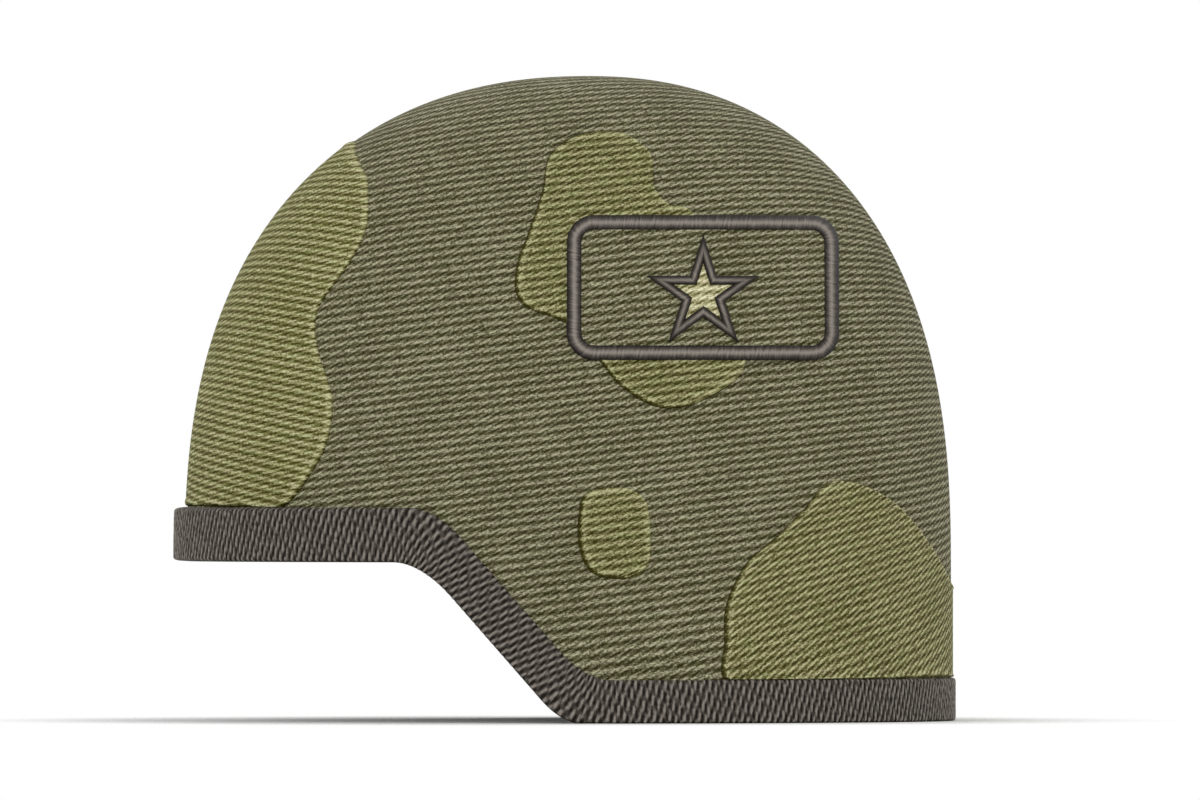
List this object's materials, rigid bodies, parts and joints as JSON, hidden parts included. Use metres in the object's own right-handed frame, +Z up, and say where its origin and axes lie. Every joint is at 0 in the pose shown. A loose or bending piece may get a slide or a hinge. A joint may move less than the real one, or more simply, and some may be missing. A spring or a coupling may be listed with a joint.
{
  "type": "combat helmet",
  "caption": "Ear-covering combat helmet with a stitched camouflage cover, a star badge on the left side, a webbing suspension and a chinstrap that swings, shortens and unsnaps.",
  "frame": {"origin": "on the table under the rim, halfway between the front and the rear of the edge band, in the helmet's middle plane", "axes": "+X towards the nape, -X towards the brow, -Y towards the wearer's left side with the badge, +Z up"},
  "size_m": [0.2551, 0.2338, 0.2107],
  "materials": {
    "shell": "matt",
    "cover_cloth": "woven",
    "camo_light": "embroidered",
    "camo_mid": "embroidered",
    "camo_warm": "embroidered",
    "edge_trim": "stitched",
    "badge_cloth": "woven",
    "badge_cord": "satin",
    "star_thread": "satin",
    "webbing": "woven",
    "drawcord": "braided",
    "leather": "satin",
    "foam": "matt",
    "black_plastic": "satin",
    "dark_steel": "satin",
    "bare_steel": "satin",
    "snap_metal": "blackened"
  },
  "bodies": {
    "helmet": {"helmet_shell": "shell", "camouflage_cover": "cover_cloth", "edge_band": "edge_trim", "camo_front": "camo_light", "camo_upper": "camo_mid", "camo_small": "camo_mid", "camo_rear": "camo_warm", "camo_right_brow": "camo_light", "camo_right_ear": "camo_warm", "camo_right_crown": "camo_mid", "badge_ground": "badge_cloth", "badge_border": "badge_cord", "star_outline": "badge_cord", "star_centre": "star_thread", "suspension_screws": "dark_steel", "suspension_posts": "bare_steel", "suspension_band": "webbing", "front_crown_straps": "webbing", "side_crown_straps": "webbing", "rear_crown_straps": "webbing", "crown_drawcord": "drawcord", "cord_lock": "black_plastic", "sweatband": "leather", "sweatband_clips": "bare_steel", "nape_pad": "foam", "chinstrap_screws": "dark_steel", "chinstrap_spacers": "black_plastic", "chinstrap_nuts": "bare_steel"},
    "chinstrap_anchors": {"left_anchor_plate": "bare_steel", "right_anchor_plate": "bare_steel", "left_anchor_strap": "webbing", "right_anchor_strap": "webbing", "left_slider": "black_plastic", "right_slider": "black_plastic"},
    "chin_loop": {"chinstrap_loop": "webbing", "chin_cup": "leather", "snap_stud": "snap_metal"},
    "snap_tab_piece": {"snap_tab": "webbing", "snap_cap": "snap_metal"}
  },
  "joints": [
    {"name": "chinstrap_swing", "type": "hinge", "parent": "helmet", "child": "chinstrap_anchors", "pos_m": [-0.022, 0, 0.06], "axis": [0, 1, 0], "range_deg": [0, 90]},
    {"name": "strap_length", "type": "slide", "parent": "chinstrap_anchors", "child": "chin_loop", "axis": [0.9472, 0, -0.3206], "range_m": [-0.018, 0]},
    {"name": "snap_tab_peel", "type": "hinge", "parent": "chin_loop", "child": "snap_tab_piece", "pos_m": [0.05937, -0.08016, 0.03246], "axis": [-0.3206, 0, -0.9472], "range_deg": [0, 60]}
  ]
}
